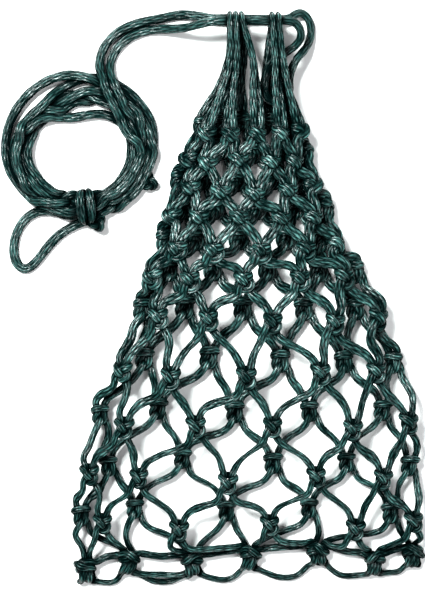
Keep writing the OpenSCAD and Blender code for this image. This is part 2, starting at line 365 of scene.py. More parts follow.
def mouth_leg(c, start, end, k):
    """Two points on a leg of a mouth loop, between its knot and its arch round the run."""
    leg = []
    for share in LEG_SHARES:
        p = start * (1 - share) + end * share
        p[0] = end[0] + (start[0] - end[0]) * (1 - share) ** MOUTH_FLARE
        p[0] += 4 * MOUTH_BOW[c] * share * (1 - share)  # all of the bow at half way, none at the ends
        p[0] += MOUTH_STRAY_X * stray(share * 7, c, 20 + k)
        p[2] += MOUTH_STRAY_Z * stray(share * 5, c, 30 + k)
        leg.append(p)
    return leg


def mouth_loop(c):
    """A long loop from its knot up over a run of the drawstring and back under it, or the other way."""
    bight = placed(BIGHT, 0, c)
    eye = eye_place(c)
    over_first = 1 if across(turn(0, c)) > 0 else -1
    top = np.array([0.0, 0.0, over_first * EYE_R])
    side = np.array([0.0, ARCH_WIDE * EYE_R, 0.0])
    arch = [eye + side * math.sin(a) + top * math.cos(a) for a in np.radians(ARCH_ANGLES)]
    trail = Trail()
    trail.add(bight[BIGHT_BOTTOM:], MOUTH_KNOT_SLACK)
    trail.add(mouth_leg(c, bight[-1], arch[0], 0), MOUTH_SLACK)
    trail.add(arch, MOUTH_ARCH_SLACK)
    trail.add(mouth_leg(c, bight[0], arch[-1], 1)[::-1], MOUTH_SLACK)
    trail.add(bight[:BIGHT_BOTTOM + 1], MOUTH_KNOT_SLACK)
    name = f"mouth_loop_{wall_of(c)}_{c % (MESHES // 2) + 1}"
    return Strand(name, trail.points, TWINE_D, trail.slack, ring=True)


# ---------------------------------------------------------------- the bottom edge
WALLS_APART = 1.2  # how far the front and back walls' loops lie from the bottom knots' level
LOOP_IN = (1.4, 6.0)  # where a loop comes to a knot, to its side and above its middle
WRAP_HALF = 1.5  # the turn of a loop that comes to one knot only: its half width,
WRAP_START = 2.0  # and how far below the knot's middle it starts and reaches
WRAP_REACH = 6.5
PASS_BELOW = 5.0  # where a loop goes through two knots
LOOP_SAG = 7.0  # and how far below them it hangs between
LOOP_LOW_Z = BIGHT_Z + 0.8
LINE_LEVEL = 5.0  # how far above the middle of its knots the bottom line runs
LINE_LIFT = 0.6  # and how far above their level
LINE_STRAY = 1.2
LINE_END = (1.0, 2.0)  # how far inside and below the outer knots' middles its ends are
CLOSING_SLACK = 0.35
HITCH_R = 4.4
HITCH_FLAT = 0.85  # a hitch's height, as a share of its width
HITCH_DROP = 3.5  # how far it goes down over its knot
HITCH_HALF_TURNS = 3
HITCH_STEPS = 15
HITCH_STRAY = 0.8
WHIP_TURNS = 2
WHIP_STEPS = 10  # points a turn
WHIP_SLACK = 0.9
WHIP_SPREAD = 3.4  # half the width over which a whipping's turns lie side by side
WHIP_TALL = 6.2  # half its length, from top to bottom
WHIP_DEEP = 3.9  # half its thickness
WHIP_VARIES = 0.12
WHIP_LEANS = 1.6
WHIP_SLANT = 0.9
WHIP_DOWN = 0.6  # how far below the middle of its knot a whipping's middle is
BIGHT_IN = (1.4, 3.2)  # where a bight leaves a whipping: how far beside it, and how high
BIGHT_SLACK = 0.3
BIGHT_LOW_Z = 2.4
BIGHT_SAG = -170.6  # where the bights hang to at X = 0
BIGHT_TILT = 0.034  # they hang lower at the left
BIGHT_STRAY = 1.2
BIGHT_BENDS = [(0.36, 0.6), (0.68, 0.3)]  # a bight's two low points: the share of the way, and the rise


def closing_loop(c, start, end):
    """The last row's loop between two knots: down into the bottom knots and back up."""
    i = CLOSING_OF[c][1]
    j = CLOSING_OF[(c + 1) % MESHES][0]
    wall = 1 if in_front(c) else -1
    z = CLOSING_Z + WALLS_APART * wall
    beside, above = LOOP_IN
    ax, ay = CLOSING[i]
    bx, by = CLOSING[j]
    down = np.array([ax + wall * beside, ay + above, z])
    rise = np.array([bx - wall * beside, by + above, z])
    if i == j:
        out = wall * WRAP_HALF
        bottom = [(ax + out, ay - WRAP_START, z), (ax, ay - WRAP_REACH, z), (bx - out, by - WRAP_START, z)]
    else:
        hanging = ((ax + bx) / 2, (ay + by) / 2 - LOOP_SAG, LOOP_LOW_Z)
        bottom = [(ax, ay - PASS_BELOW, z), hanging, (bx, by - PASS_BELOW, z)]
    first = leg_middle(start, down, LAST, c, DOWN)
    last = leg_middle(rise, end, LAST, c, UP)
    return np.array([first, down, *bottom, rise, last])


def closing_line():
    """The line along the bottom, hitched round the loops at each knot. Its ends are in the outer knots."""
    inside, below = LINE_END
    points = [(CLOSING[0][0] + inside, CLOSING[0][1] - below, CLOSING_Z)]
    for i, (x, y) in enumerate(CLOSING):
        for k in range(HITCH_STEPS + 1):
            share = k / HITCH_STEPS
            angle = math.pi - HITCH_HALF_TURNS * math.pi * share
            along = LINE_LEVEL - HITCH_DROP * math.sin(math.pi * share) + HITCH_STRAY * stray(9, i, k)
            height = CLOSING_Z + LINE_LIFT + HITCH_FLAT * HITCH_R * math.sin(angle)
            points.append((x + HITCH_R * math.cos(angle), y + along, height))
        if i + 1 < len(CLOSING):
            nx, ny = CLOSING[i + 1]
            sag = LINE_STRAY * stray(9, i, 31)
            points.append(((x + nx) / 2, (y + ny) / 2 + LINE_LEVEL + sag, CLOSING_Z + LINE_LIFT))
    points.append((CLOSING[-1][0] - inside, CLOSING[-1][1] - below, CLOSING_Z))
    return Strand("bottom_line", points, CLOSING_D, CLOSING_SLACK)


def closing_bights():
    """The slack twine that hangs in bights below the line, and winds round each knot from top to bottom."""
    trail = Trail()
    beside, low_z = BIGHT_IN
    steps = WHIP_STEPS * WHIP_TURNS
    for i, (x, y) in enumerate(CLOSING):
        tall = WHIP_TALL * (1 + WHIP_VARIES * stray(11, i, 1))
        lean = WHIP_LEANS * stray(11, i, 2)
        trail.add((x - WHIP_SPREAD - beside, y - tall - WHIP_DOWN, low_z), BIGHT_SLACK)
        for k in range(steps + 1):
            share = k / steps
            angle = 2 * math.pi * WHIP_TURNS * share
            shift = WHIP_SPREAD * (2 * share - 1) - lean * math.cos(angle) + WHIP_SLANT * math.sin(angle)
            height = CLOSING_Z + WHIP_DEEP * math.sin(angle)
            trail.add((x + shift, y - WHIP_DOWN - tall * math.cos(angle), height), WHIP_SLACK)
        trail.add((x + WHIP_SPREAD + beside, y - tall - WHIP_DOWN, low_z), BIGHT_SLACK)
        if i + 1 < len(CLOSING):
            nx = CLOSING[i + 1][0]
            sag = BIGHT_SAG + BIGHT_TILT * (x + nx) / 2 + BIGHT_STRAY * stray(10, i, 1)
            low = [(x + (nx - x) * share, sag + rise, BIGHT_LOW_Z) for share, rise in BIGHT_BENDS]
            trail.add(low, BIGHT_SLACK)
    return Strand("bottom_bights", trail.points, TWINE_D, trail.slack)


# ---------------------------------------------------------------- the hand line
# Lanes across the coil, from about -1 inside to 1 outside, as a line passes its right, bottom, left and top.
UPPER_LANES = [0.3, 0.2, -0.2, 0.1, -0.5, -0.5, -0.2, -0.3, 0.1, 0.6, 0.0, -0.1, 1.15, 1.2]
LOWER_LANES = [-0.3, -0.2, 0.0, -1.0, -1.0, -0.5, 1.2, 1.2, 0.7, 0.9, -1.5, -0.5, 0.5, 0.3, 0.6]
UPPER_CLIMB = [(-88.5, 135, 4.5), (-85.5, 126, 8.5), (-80.5, 117, 9), (-75, 107, 8)]
LOWER_CLIMB = [(-82.6, 136, 4.5), (-80.5, 128.5, 8.2), (-76, 119.5, 8.6), (-70, 109, 7)]
TUCK = [(-99.5, 45.5, 3.0), (-94.5, 48.5, 4.5)]  # the wrist loop's end, under the tie
UPPER_TURNED = (-8, 3 * 360 + 10)  # the angle where a line's turns start, and how far they go
LOWER_TURNED = (-5, 3 * 360 + 108)
UPPER_END = (46, math.radians(-25), 3.4)  # radius, angle and height, just short of the knot on the end
LINE_SLACK = 0.35
DRAWSTRING_SLACK = 0.2
COIL_STEP = 12  # degrees
COIL_MID_R = 37.4
COIL_MID_Z = 4.6
COIL_WOBBLE = (0.7, 0.6)  # how far the turns stray in and out, twice and three times round
COIL_WEAVE = 2.0  # how far they go over and under each other
COIL_HALF = 5.2  # half the width of the turns, side by side
COIL_TOP = 100.0  # the angle where they hang loose
COIL_LOOSE = 6.5  # how much further inwards they spread there
TIE_DRAWS = 2.9  # how far the tie draws them together


def by_angle(angle, degrees):
    """1 at an angle of the coil, falling to 0 a quarter turn from it."""
    return max(0.0, math.cos(angle - math.radians(degrees))) ** 1.5


def lane_at(lanes, share):
    """The lane a share of the way through a list of them, with smooth steps between."""
    place = min(share * (len(lanes) - 1), len(lanes) - 1.001)  # just short of the last one
    part = place % 1
    part = part * part * (3 - 2 * part)
    return lanes[int(place)] * (1 - part) + lanes[int(place) + 1] * part


def on_coil(r, angle, z):
    return (COIL_AT[0] + r * math.cos(angle), COIL_AT[1] + r * math.sin(angle), z)


def coil_turns(start, total, lanes, seed):
    """Turns of line, clockwise from above: loose at the top of the coil, drawn together at its tie."""
    points = []
    count = int(total / COIL_STEP)
    for k in range(count + 1):
        gone = total * k / count
        angle = math.radians(start - gone)
        lane = lane_at(lanes, gone / total)
        loose = COIL_LOOSE * by_angle(angle, COIL_TOP)
        r = COIL_MID_R - loose + lane * (COIL_HALF + loose - TIE_DRAWS * by_angle(angle, TIE_ANGLE))
        twice = COIL_WOBBLE[0] * math.sin(2 * angle + seed)
        thrice = COIL_WOBBLE[1] * math.sin(3 * angle + 2.1 * seed + 5 * lane)
        r += twice + thrice
        z = COIL_MID_Z + COIL_WEAVE * math.sin(1.7 * angle + 2.9 * seed + 4.3 * lane + gone / 57)
        points.append(on_coil(r, angle, z))
    return points


def upper_hand_line():
    """The line from the drawstring's back run, then its turns, to the knot on its end."""
    turns = coil_turns(*UPPER_TURNED, UPPER_LANES, 0.4)
    points = UPPER_LINE[:-1] + UPPER_CLIMB + turns + [on_coil(*UPPER_END)]
    return Strand("hand_line_upper_cord", points, LINE_D, LINE_SLACK)


def lower_hand_line():
    """The line from the drawstring's front run, then its turns, then the loop that goes back to the tie."""
    turns = coil_turns(*LOWER_TURNED, LOWER_LANES, 1.9)
    points = LOWER_LINE[:-2] + LOWER_CLIMB + turns + WRIST_LOOP[:-1] + TUCK
    return Strand("hand_line_lower_cord", points, LINE_D, LINE_SLACK)


# ---------------------------------------------------------------- the tie and the knots
TIE_REACH = 5  # how far to either side of the tie the lines that it goes round are looked for
TIE_INSIDE = 25  # and how far from the coil's centre they lie
TIE_OUTSIDE = 44
TIE_CLEAR = 0.8  # from the surface of those lines to the middle of the tie's twine
TIE_SLACK = 0.8
TIE_TURNS = 2
TIE_STEPS = 14  # points a turn
TIE_WIDE = 6.4  # how far along the coil its turns go
TIE_SLANT = 1.5  # how far a turn slants
TIE_LOW_Z = 1.3
TIE_KNOT_AT = (1.0, 4.0)  # how far outside the tie its knot is, and how far along
TIE_KNOT_SIZE = 1.45
TIE_KNOT_TURNED = 0.5
END_KNOT_SIZE = 0.95
END_KNOT_TURNED = 1.2
END_KNOT_Z = 3.4
KNOT_HEIGHT = 1.3  # how far a knot's twine goes over and under itself, in sizes of the knot
KNOT_SLACK = 0.2
KNOT_POINTS = 37


def squared(x):
    """A sine or cosine, changed so that the circle becomes a square with round corners."""
    return math.copysign(abs(x) ** 0.7, x)


def tie_cord(lines):
    """Two turns of twine round the coil, fitted to the lines as they lie there, and its knot's place."""
    a = math.radians(TIE_ANGLE)
    out = np.array([math.cos(a), math.sin(a), 0.0])
    way = np.array([-math.sin(a), math.cos(a), 0.0])
    near = np.vstack([s.points for s in lines]) - COIL_AT
    near = near[(np.abs(near @ way) < TIE_REACH) & (near @ out > TIE_INSIDE) & (near @ out < TIE_OUTSIDE)]
    low, high = (near @ out).min(), (near @ out).max()
    half = (high - low) / 2 + LINE_D / 2 + TIE_CLEAR
    top = near[:, 2].max() + LINE_D / 2 + TIE_CLEAR
    centre = COIL_AT + (low + high) / 2 * out + np.array([0, 0, top / 2])
    points = []
    for k in range(TIE_TURNS * TIE_STEPS + 1):
        angle = 2 * math.pi * k / TIE_STEPS
        crossing = TIE_SLANT * math.sin(angle) * (2 * (k // TIE_STEPS) - 1)
        lean = (k / TIE_STEPS / TIE_TURNS - 0.5) * TIE_WIDE + crossing
        width = half * squared(math.cos(angle))
        height = max(top / 2 * squared(math.sin(angle)), TIE_LOW_Z - top / 2)
        points.append(centre + out * width + np.array([0, 0, height]) + way * lean)
    outside, along = TIE_KNOT_AT
    return Strand("tie_cord", points, TIE_D, TIE_SLACK), centre + out * (half + outside) + way * along


def overhand(name, centre, size, turned, diameter):
    """A pulled-up overhand knot: a trefoil."""
    c, s = math.cos(turned), math.sin(turned)
    points = []
    for t in np.linspace(0, 2 * math.pi, KNOT_POINTS):
        x = math.sin(t) + 2 * math.sin(2 * t)
        y = math.cos(t) - 2 * math.cos(2 * t)
        trefoil = np.array([c * x - s * y, s * x + c * y, -KNOT_HEIGHT * math.sin(3 * t)])
        points.append(np.asarray(centre) + size * trefoil)
    return Strand(name, points, diameter, KNOT_SLACK, ring=True)


# ---------------------------------------------------------------- strands settle against each other
SLACK_WIDENS = 1.1  # how much wider a fully slack twine lies
SLACK_THINS = 0.34  # and how much thinner
WIDE_TOUCH = 0.25  # how much of that width keeps its neighbours off
SETTLED_GAP = 0.92  # how far apart strands that touch settle, as a share of their two radii
SELF_SKIP = 4  # points of one strand nearer than this along it don't push each other
SEARCH_REACH = 5.0  # points further apart than this wait for the next search
SEARCH_EVERY = 5  # rounds between searches for neighbours
PUSH_SHARING = 0.6  # how far the pushes on a point are averaged: 0 adds them up, 1 averages them
EVENS_OUT = 0.16  # how far a point moves each round to the middle of its two neighbours
GOES_BACK = 0.014  # and how far towards where it was laid


def near_pairs(points, reach):
    """Index pairs of points within about reach of each other, found by sorting the points into cells."""
    cells = np.floor((points - points.min(0)) / reach).astype(np.int64) + 1
    wide = cells.max(0) + 2
    key = (cells[:, 0] * wide[1] + cells[:, 1]) * wide[2] + cells[:, 2]
    order = np.argsort(key, kind="stable")
    ordered = key[order]
    found = []
    for dx in (0, 1):
        for dy in (-1, 0, 1):
            for dz in (-1, 0, 1):
                shift = (dx * wide[1] + dy) * wide[2] + dz
                if shift < 0:
                    continue
                low = np.searchsorted(ordered, key + shift, "left")
                count = np.searchsorted(ordered, key + shift, "right") - low
                first = np.repeat(np.arange(len(points)), count)
                starts = np.repeat(low - np.concatenate([[0], np.cumsum(count)[:-1]]), count)
                second = order[starts + np.arange(count.sum())]
                keep = first < second if shift == 0 else first != second
                found.append(np.column_stack([first[keep], second[keep]]))
    return np.vstack(found)


def pushes(points, a, b, scale, want, free):
    """How far each point is pushed by the points nearer to it than they want to be."""
    gap = (points[a] - points[b]) * scale
    far = np.linalg.norm(gap, axis=1)
    touch = far < want
    i, j = a[touch], b[touch]
    depth = (want[touch] - far[touch]) / np.maximum(far[touch], 1e-3)
    push = gap[touch] * depth[:, None] / scale[touch]
    share = (free[i] / (free[i] + free[j]))[:, None]
    move = np.zeros_like(points)
    for axis in range(3):
        move[:, axis] += np.bincount(i, (push * share)[:, axis], len(points))
        move[:, axis] -= np.bincount(j, (push * (1 - share))[:, axis], len(points))
    hits = np.bincount(i, minlength=len(points)) + np.bincount(j, minlength=len(points))
    return move / np.maximum(hits, 1)[:, None] ** PUSH_SHARING


def settle(strands, rounds):
    """Moves free strands until they lie against each other and on the ground, not in each other."""
    points = np.vstack([s.points for s in strands])
    rest = points.copy()
    sizes = [len(s.points) for s in strands]
    first = np.cumsum([0] + sizes)
    owner = np.repeat(np.arange(len(strands)), sizes)
    radius = np.repeat([s.radius for s in strands], sizes)
    free = np.repeat([float(s.free) for s in strands], sizes)
    ring = np.repeat([s.ring for s in strands], sizes)
    length = np.repeat(sizes, sizes)
    slack = np.concatenate([s.slack for s in strands])
    itself = np.arange(len(points))
    before = itself - 1
    after = itself + 1
    before[first[:-1]] = first[:-1]
    after[first[1:] - 1] = first[1:] - 1
    is_end = (before == itself) | (after == itself)
    flat = 1 / (1 - SLACK_THINS * slack)
    wide = 1 / (1 + WIDE_TOUCH * slack)
    ground = radius * (1 - SLACK_THINS * slack)
    for k in range(rounds):
        if k % SEARCH_EVERY == 0:
            a, b = near_pairs(points, SEARCH_REACH).T
            apart = np.abs(a - b)
            apart = np.where(ring[a], np.minimum(apart, length[a] - apart), apart)
            keep = ((owner[a] != owner[b]) | (apart > SELF_SKIP)) & (free[a] + free[b] > 0)
            a, b = a[keep], b[keep]
            scale = np.column_stack([(wide[a] + wide[b]) / 2] * 2 + [(flat[a] + flat[b]) / 2])
            want = (radius[a] + radius[b]) * SETTLED_GAP
        points += pushes(points, a, b, scale, want, free)
        even = np.where(is_end[:, None], 0, (points[before] + points[after]) / 2 - points)
        points += even * (EVENS_OUT * free)[:, None]
        points += (rest - points) * (GOES_BACK * free)[:, None]
        points[:, 2] = np.where(free > 0, np.maximum(points[:, 2], ground), points[:, 2])
    for s, low, high in zip(strands, first[:-1], first[1:]):
        s.points = points[low:high]


# ---------------------------------------------------------------- from a strand to a mesh
HUMP = 0.45  # how much a strand of the braid rises between its crossings


class Braid:
    """A round braid.

    Its carriers are its strands each way round, and its lay is the length of one turn of them. Its groove
    is as deep as this share of its radius, and its sides are those of its mesh.
    """

    def __init__(self, carriers, lay, groove, sides):
        self.carriers = carriers
        self.lay = lay
        self.groove = groove
        self.sides = sides

    def height(self, around, along):
        """0 in a groove to 1 on a crest. In each diamond of the braid one strand lies over the other."""
        a = self.carriers * (around - along / self.lay)
        b = self.carriers * (around + along / self.lay)
        over = (np.floor(a) + np.floor(b)) % 2 == 0
        ridge = np.sin(np.pi * (np.where(over, a, b) % 1))
        hump = np.sin(np.pi * (np.where(over, b, a) % 1))
        return np.sqrt(ridge) * (1 - HUMP + HUMP * hump)


TWINE_BRAID = Braid(carriers=7, lay=80, groove=0.2, sides=28)
LINE_BRAID = Braid(carriers=8, lay=104, groove=0.13, sides=40)
THICKNESS_VARIES = 0.03
THICKNESS_WAVE = 5.3  # the length along a strand for each radian of that wave
LOWEST_Z = 0.02  # no point of a mesh is lower than this


def frames(points):
    """Tangents and two steady side directions along a line."""
    tangent = np.gradient(points, axis=0)
    tangent /= np.linalg.norm(tangent, axis=1)[:, None]
    side = np.zeros_like(points)
    start = np.cross(tangent[0], (0.0, 0.0, 1.0))
    if np.linalg.norm(start) < 0.1:  # the line starts upright
        start = np.cross(tangent[0], (1.0, 0.0, 0.0))
    side[0] = start / np.linalg.norm(start)
    for i in range(1, len(points)):
        v = side[i - 1] - tangent[i] * side[i - 1].dot(tangent[i])
        side[i] = v / np.linalg.norm(v)
    return tangent, side, np.cross(tangent, side)


def laid_flat(points, offset, tangent, slack):
    """Rings round a line's points, wide and thin where it is slack, unless it stands on end there."""
    up = np.array([0.0, 0.0, 1.0]) - tangent * tangent[:, 2:3]
    level = np.linalg.norm(up, axis=1)
    up /= np.maximum(level, 1e-6)[:, None]
    lies = np.clip(level * 1.4 - 0.4, 0, 1)  # 0 where the line is nearly upright, 1 where it is level
    amount = (slack * lies)[:, None, None]
    thick = np.einsum("ijk,ik->ij", offset, up)[:, :, None] * up[:, None, :]
    wider = 1 + SLACK_WIDENS * amount
    thinner = 1 - SLACK_THINS * amount
    return points[:, None] + (offset - thick) * wider + thick * thinner


def sweep(strand, braid, material):
    """A braided mesh tube along a strand, and the points along its middle."""
    points, slack = resample(strand.points, strand.slack, SWEEP_STEP)
    tangent, side, other = frames(points)
    along = run_lengths(points)
    around = np.arange(braid.sides) / braid.sides
    height = braid.height(around[None, :], along[:, None])
    r = strand.radius * (1 - braid.groove * (1 - height))
    r *= 1 + THICKNESS_VARIES * np.sin(along / THICKNESS_WAVE + len(points))[:, None]
    turned = 2 * np.pi * around[None, :, None]
    offset = r[:, :, None] * (np.cos(turned) * side[:, None] + np.sin(turned) * other[:, None])
    rings = laid_flat(points, offset, tangent, slack)
    rings[:, :, 2] = np.maximum(rings[:, :, 2], LOWEST_Z)
    piece = tube(strand.name, rings, around, along)
    piece.data.materials.append(material)
    return piece, points


def tube_faces(count, sides):
    """The corners of a closed tube's faces in a row, and how many each face has: quads, then two fans."""
    i, k = np.meshgrid(np.arange(count - 1), np.arange(sides), indexing="ij")
    after = (k + 1) % sides
    quads = np.stack([i * sides + k, i * sides + after, (i + 1) * sides + after, (i + 1) * sides + k], -1)
    ks = np.arange(sides)
    last = (count - 1) * sides
    start_cap = np.stack([np.full(sides, count * sides), (ks + 1) % sides, ks], -1)
    end_cap = np.stack([np.full(sides, count * sides + 1), last + ks, last + (ks + 1) % sides], -1)
    loops = np.concatenate([quads.ravel(), start_cap.ravel(), end_cap.ravel()])
    return loops, np.concatenate([np.full(quads.size // 4, 4), np.full(2 * sides, 3)])


def tube_uvs(around, along):
    """A closed tube's UVs, in the order of its faces' corners: turns round and metres along."""
    count, sides = len(along), len(around)
    i, k = np.meshgrid(np.arange(count - 1), np.arange(sides), indexing="ij")
    u, wide = around[k], 1 / sides
    low, high = along[i] * MM, along[i + 1] * MM
    square = [(u, low), (u + wide, low), (u + wide, high), (u, high)]
    quad_uv = np.stack([np.stack(corner, -1) for corner in square], 2).reshape(-1, 2)
    cap_uv = np.tile([[0.5, 0.0]], (sides * 3, 1))
    return np.vstack([quad_uv, cap_uv, cap_uv + [0, along[-1] * MM]])


def tube(name, rings, around, along):
    """A closed tube through rings of points."""
    count, sides = rings.shape[:2]
    ends = np.stack([rings[0].mean(0), rings[-1].mean(0)])
    verts = np.vstack([rings.reshape(-1, 3), ends]) * MM
    loops, corners = tube_faces(count, sides)
    mesh = bpy.data.meshes.new(name)
    mesh.vertices.add(len(verts))
    mesh.vertices.foreach_set("co", verts.ravel())
    mesh.loops.add(len(loops))
    mesh.loops.foreach_set("vertex_index", loops)
    mesh.polygons.add(len(corners))
    mesh.polygons.foreach_set("loop_start", np.concatenate([[0], np.cumsum(corners)[:-1]]))
    mesh.polygons.foreach_set("use_smooth", np.ones(len(corners), bool))
    mesh.update(calc_edges=True)
    uv = mesh.uv_layers.new(name="strand")
    uv.data.foreach_set("uv", tube_uvs(around, along).ravel())
    mesh.validate()
    piece = bpy.data.objects.new(name, mesh)
    bpy.context.scene.collection.objects.link(piece)
    return piece


# ---------------------------------------------------------------- materials
class Nodes:
    """Short calls for building a material's nodes."""

    def __init__(self, name):
        self.material = bpy.data.materials.new(name)
        self.material.use_nodes = True
        self.tree = self.material.node_tree
        self.shader = self.tree.nodes["Principled BSDF"]

    def make(self, kind, inputs, **settings):
        node = self.tree.nodes.new(kind)
        for key, value in settings.items():
            setattr(node, key, value)
        for key, value in inputs.items():
            if isinstance(value, bpy.types.NodeSocket):
                self.tree.links.new(value, node.inputs[key])
            else:
                node.inputs[key].default_value = value
        return node.outputs[0]

    def math(self, operation, a, b=0.0, c=0.0):
        return self.make("ShaderNodeMath", {0: a, 1: b, 2: c}, operation=operation)

    def mix(self, factor, a, b):
        """a where the factor is 0, b where it is 1."""
        return self.math("MULTIPLY_ADD", factor, self.math("SUBTRACT", b, a), a)

    def noise(self, x, y, z):
        at = self.make("ShaderNodeCombineXYZ", {0: x, 1: y, 2: z})
        looks = {"Vector": at, "Scale": 1.0, "Detail": 2.0, "Roughness": 0.6}
        return self.make("ShaderNodeTexNoise", looks)

    def ramp(self, value, stops):
        """Colours for a value, from (place, colour) stops in order."""
        out = self.make("ShaderNodeValToRGB", {0: value})
        band = out.node.color_ramp
        for element, (at, colour) in zip(band.elements, (stops[0], stops[-1])):
            element.position = at
            element.color = (*colour, 1)
        for at, colour in stops[1:-1]:
            band.elements.new(at).color = (*colour, 1)
        return out

    def to_shader(self, socket, value):
        self.tree.links.new(value, self.shader.inputs[socket])


TEAL_BY_SHADE = [
    (0.08, (0.0005, 0.0025, 0.0025)), (0.36, (0.003, 0.014, 0.013)),
    (0.60, (0.012, 0.056, 0.051)), (0.88, (0.080, 0.205, 0.188)),
]
MID_SHADE = 0.45  # contrast spreads the shades about this one
HUMP_SHADES = 0.5  # as HUMP, for the bump and for the painted crest highlight and groove shade: a little more, so that the braid shows
FIBRES_ACROSS = 1.8  # the scale of the filaments' streaks in one strand of the braid
FIBRES_ALONG = 1.5
FIBRE_SHADES = 1.5
FIBRE_RAISES = 0.7
FIBRE_ROUGHENS = 0.3
LEAST_ROUGH = 0.12
CREST_PAINTED_LIGHT = 0.6
PATCHES_ROUND = 1.5  # the scale of larger patches, per turn and per metre
PATCHES_ALONG = 110.0
PATCH_SHADES = 0.8
PATCH_SHINES = 0.8
SHADE_SHINES = 0.6
SHINE_OFFSET = -0.03
SHINE_COLOUR = (0.95, 1.0, 1.0, 1)
PAINTED_SHADE_REACH = 0.009  # in metres: how near other twine must be for its painted shade to darken this
# how strongly that painted contact shade darkens the colour
PAINTED_CONTACT_SHADE = 1.5
BUMP_HEIGHT = 0.0004
FLOOR_COLOURS = [(0.3, (0.93, 0.93, 0.92)), (0.7, (0.95, 0.95, 0.94))]
FLOOR_GRAIN = 900.0
FLOOR_ROUGH = 0.75
FLOOR_SHINES = 0.2


def braid_material(name, braid, seed, contrast=1.0, lift=0.0):
    """Glossy plastic filaments in a braid: teal crests with painted highlight, painted shade in the grooves
    and where twine lies against twine, and pale streaks along each strand.
    """
    n = Nodes(name)
    uv = n.make("ShaderNodeUVMap", {}, uv_map="strand")
    round_at, along_at = n.make("ShaderNodeSeparateXYZ", {0: uv}).node.outputs[:2]

    # The pattern of Braid.height: which strand is on top, and where in its diamond a point is.
    lay = n.math("DIVIDE", along_at, braid.lay * MM)
    a = n.math("MULTIPLY", n.math("SUBTRACT", round_at, lay), float(braid.carriers))
    b = n.math("MULTIPLY", n.math("ADD", round_at, lay), float(braid.carriers))
    cell = n.math("ADD", n.math("FLOOR", a), n.math("FLOOR", b))
    under = n.math("PINGPONG", cell, 1.0)
    fa, fb = n.math("FRACT", a), n.math("FRACT", b)
    cross_at = n.mix(under, fa, fb)
    run_at = n.mix(under, fb, fa)
    ridge = n.math("SINE", n.math("MULTIPLY", cross_at, math.pi))
    hump = n.math("SINE", n.math("MULTIPLY", run_at, math.pi))
    raised = n.math("MULTIPLY_ADD", hump, HUMP_SHADES, 1 - HUMP_SHADES)
    height = n.math("MULTIPLY", n.math("SQRT", ridge), raised)

    # Filaments along each strand, and patches that are paler than others. Each strand has noise of its own.
    strand_seed = n.math("ADD", n.math("MULTIPLY", n.math("FLOOR", a), 3.7), n.math("MULTIPLY", cell, 5.3))
    fibre_across = n.math("MULTIPLY", cross_at, FIBRES_ACROSS)
    fibre = n.noise(fibre_across, n.math("MULTIPLY", run_at, FIBRES_ALONG), strand_seed)
    patch_round = n.math("MULTIPLY", round_at, PATCHES_ROUND)
    patch = n.noise(patch_round, n.math("MULTIPLY", along_at, PATCHES_ALONG), seed)
    patch_from_mid = n.math("SUBTRACT", patch, 0.5)

    # The shade of it all, with painted shade (ambient occlusion in the base colour) where twine lies against
    # twine.
    # Painted highlight on the braid's crests and painted shade in its grooves, by the height of its relief.
    crest = n.math("MULTIPLY", height, CREST_PAINTED_LIGHT)
    streak = n.math("MULTIPLY_ADD", n.math("SUBTRACT", fibre, 0.5), FIBRE_SHADES, crest)
    streaked = n.math("MULTIPLY_ADD", patch_from_mid, PATCH_SHADES, streak)
    even = n.math("MULTIPLY_ADD", n.math("SUBTRACT", streaked, MID_SHADE), contrast, MID_SHADE + lift)
    # Painted shade: ambient occlusion darkens the base colour where other twine is near.
    occlusion = n.make("ShaderNodeAmbientOcclusion", {"Distance": PAINTED_SHADE_REACH}, samples=8)
    open_air = occlusion.node.outputs["AO"]
    painted_contact_shade = n.math("MULTIPLY", n.math("SUBTRACT", 1.0, open_air), PAINTED_CONTACT_SHADE)
    shade = n.math("SUBTRACT", even, painted_contact_shade)
    n.to_shader("Base Color", n.ramp(shade, TEAL_BY_SHADE))

    relief = n.math("MULTIPLY_ADD", fibre, FIBRE_RAISES, height)
    bump = n.make("ShaderNodeBump", {"Strength": 1.0, "Distance": BUMP_HEIGHT, "Height": relief})
    n.to_shader("Normal", bump)
    n.to_shader("Roughness", n.math("MULTIPLY_ADD", fibre, FIBRE_ROUGHENS, LEAST_ROUGH))
    glint = n.math("MULTIPLY_ADD", patch_from_mid, PATCH_SHINES, SHINE_OFFSET)
    # The shine's strength follows the shade, so the painted contact shade and groove shade dim it too.
    n.to_shader("Specular IOR Level", n.math("MULTIPLY_ADD", shade, SHADE_SHINES, glint))
    n.shader.inputs["Specular Tint"].default_value = SHINE_COLOUR
    return n.material


def floor_material():
    """A pale, dull floor with a fine grain."""
    n = Nodes("pale_floor")
    grain = n.make("ShaderNodeTexNoise", {"Scale": FLOOR_GRAIN, "Detail": 2.0})
    n.to_shader("Base Color", n.ramp(grain, FLOOR_COLOURS))
    n.shader.inputs["Roughness"].default_value = FLOOR_ROUGH
    n.shader.inputs["Specular IOR Level"].default_value = FLOOR_SHINES
    return n.material


# ---------------------------------------------------------------- the stage, in metres
CAMERA_LENS = 85.0
CAMERA_SENSOR = 36.0
SEEN_HEIGHT = 0.3564  # how much the picture takes in from top to bottom, at the subject's level
CAMERA_X = -0.0207
SUBJECT_Z = 0.010
FLOOR_HALF = 4.0
SKY_COLOUR = (0.95, 0.97, 1.0, 1)
SKY_STRENGTH = 0.18
KEY_PLACE = (-0.48, 0.50, 1.2)
KEY_SIZE = 0.34
KEY_POWER = 50
KEY_COLOUR = (0.93, 1.0, 0.99)
FILL_PLACE = (0.6, -0.3, 1.2)
FILL_SIZE = 0.8
FILL_POWER = 11
FILL_COLOUR = (0.96, 0.98, 1.0)


